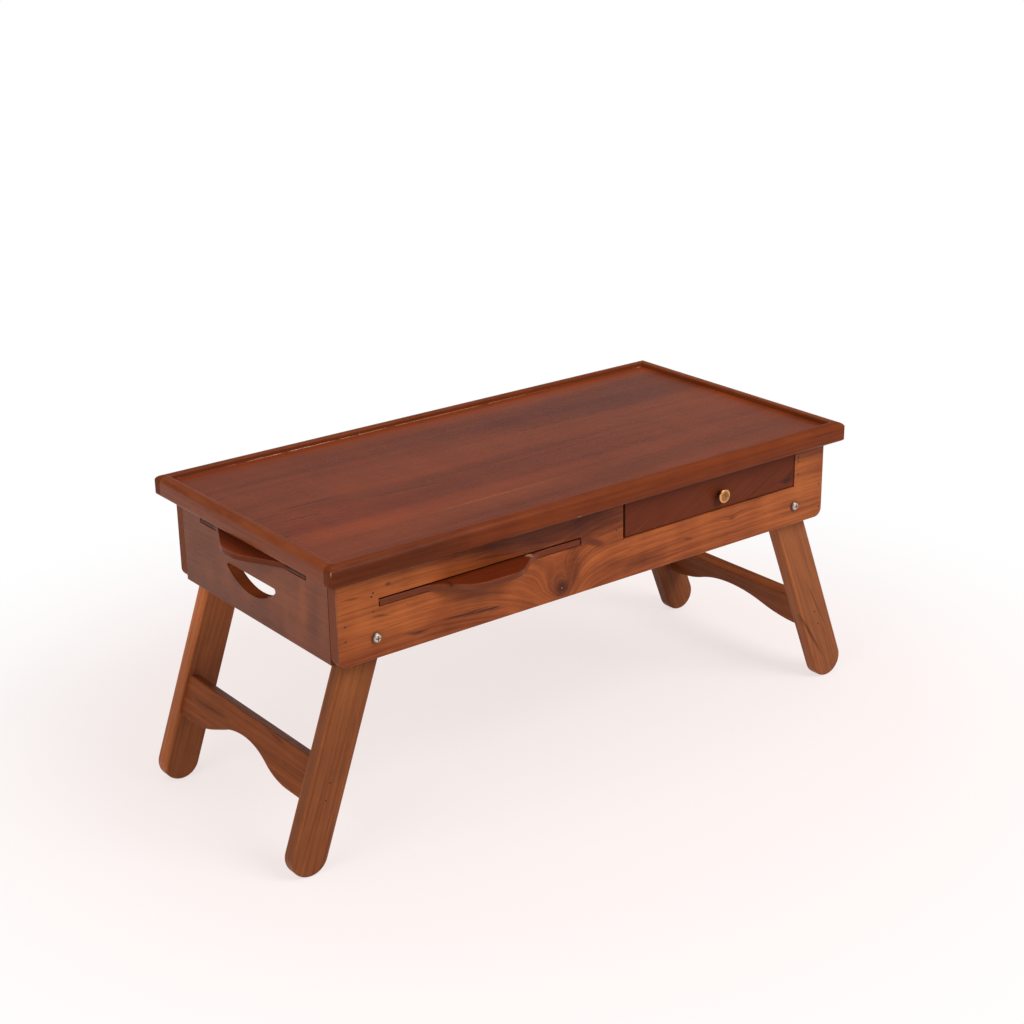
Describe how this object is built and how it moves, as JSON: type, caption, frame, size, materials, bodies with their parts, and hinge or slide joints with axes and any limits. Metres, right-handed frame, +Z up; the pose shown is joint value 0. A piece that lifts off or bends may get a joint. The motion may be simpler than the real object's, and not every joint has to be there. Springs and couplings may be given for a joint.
{
  "type": "lap desk",
  "caption": "Low wooden lap desk: rimmed tray top, splayed folding legs with arched stretchers, a knobbed drawer and pull-out boards with bow-shaped lips.",
  "frame": {"origin": "on the floor, under the middle of the footprint", "axes": "+X along the length to the drawer's side, +Y to the back, +Z up"},
  "size_m": [0.6863, 0.3168, 0.296],
  "materials": {
    "teak_top": "satin lacquer",
    "teak_rim": "satin lacquer",
    "teak_front": "satin lacquer",
    "teak_end": "satin lacquer",
    "teak_drawer": "satin lacquer",
    "teak_board": "satin lacquer",
    "teak_leg": "satin lacquer",
    "inner_wood": "plain sanded",
    "brass": "polished, a little dulled",
    "steel": "bright plated"
  },
  "bodies": {
    "table": {"top_panel": "teak_top", "rim_front": "teak_rim", "rim_back": "teak_rim", "rim_left": "teak_rim", "rim_right": "teak_rim", "apron_front": "teak_front", "apron_back": "teak_front", "apron_left": "teak_end", "apron_right": "teak_end", "drawer_guide_left": "inner_wood", "drawer_guide_right": "inner_wood", "drawer_runner_left": "inner_wood", "drawer_runner_right": "inner_wood", "front_board_guide_left": "inner_wood", "front_board_guide_right": "inner_wood", "side_board_guide_front": "inner_wood", "side_board_guide_back": "inner_wood", "pivot_washers": "steel"},
    "drawer": {"drawer_front": "teak_drawer", "drawer_side_left": "inner_wood", "drawer_side_right": "inner_wood", "drawer_back": "inner_wood", "drawer_bottom": "inner_wood", "drawer_knob": "brass", "knob_screw": "steel"},
    "front_board": {"front_board": "teak_board"},
    "side_board": {"side_board": "teak_board"},
    "left_legs": {"leg_left_front": "teak_leg", "leg_left_back": "teak_leg", "stretcher_left": "teak_leg", "pivot_screws_left": "steel"},
    "right_legs": {"leg_right_front": "teak_leg", "leg_right_back": "teak_leg", "stretcher_right": "teak_leg", "pivot_screws_right": "steel"}
  },
  "joints": [
    {"name": "drawer_slide", "type": "slide", "parent": "table", "child": "drawer", "axis": [0, -1, 0], "range_m": [0, 0.15]},
    {"name": "front_board_slide", "type": "slide", "parent": "table", "child": "front_board", "axis": [0, -1, 0], "range_m": [0, 0.16]},
    {"name": "side_board_slide", "type": "slide", "parent": "table", "child": "side_board", "axis": [-1, 0, 0], "range_m": [0, 0.18]},
    {"name": "left_leg_fold", "type": "hinge", "parent": "table", "child": "left_legs", "pos_m": [-0.25282, 0.0059, 0.21495], "axis": [0, -1, 0], "range_deg": [0, 109.3]},
    {"name": "right_leg_fold", "type": "hinge", "parent": "table", "child": "right_legs", "pos_m": [0.25194, 0.0059, 0.21495], "axis": [0, 1, 0], "range_deg": [0, 111]}
  ]
}
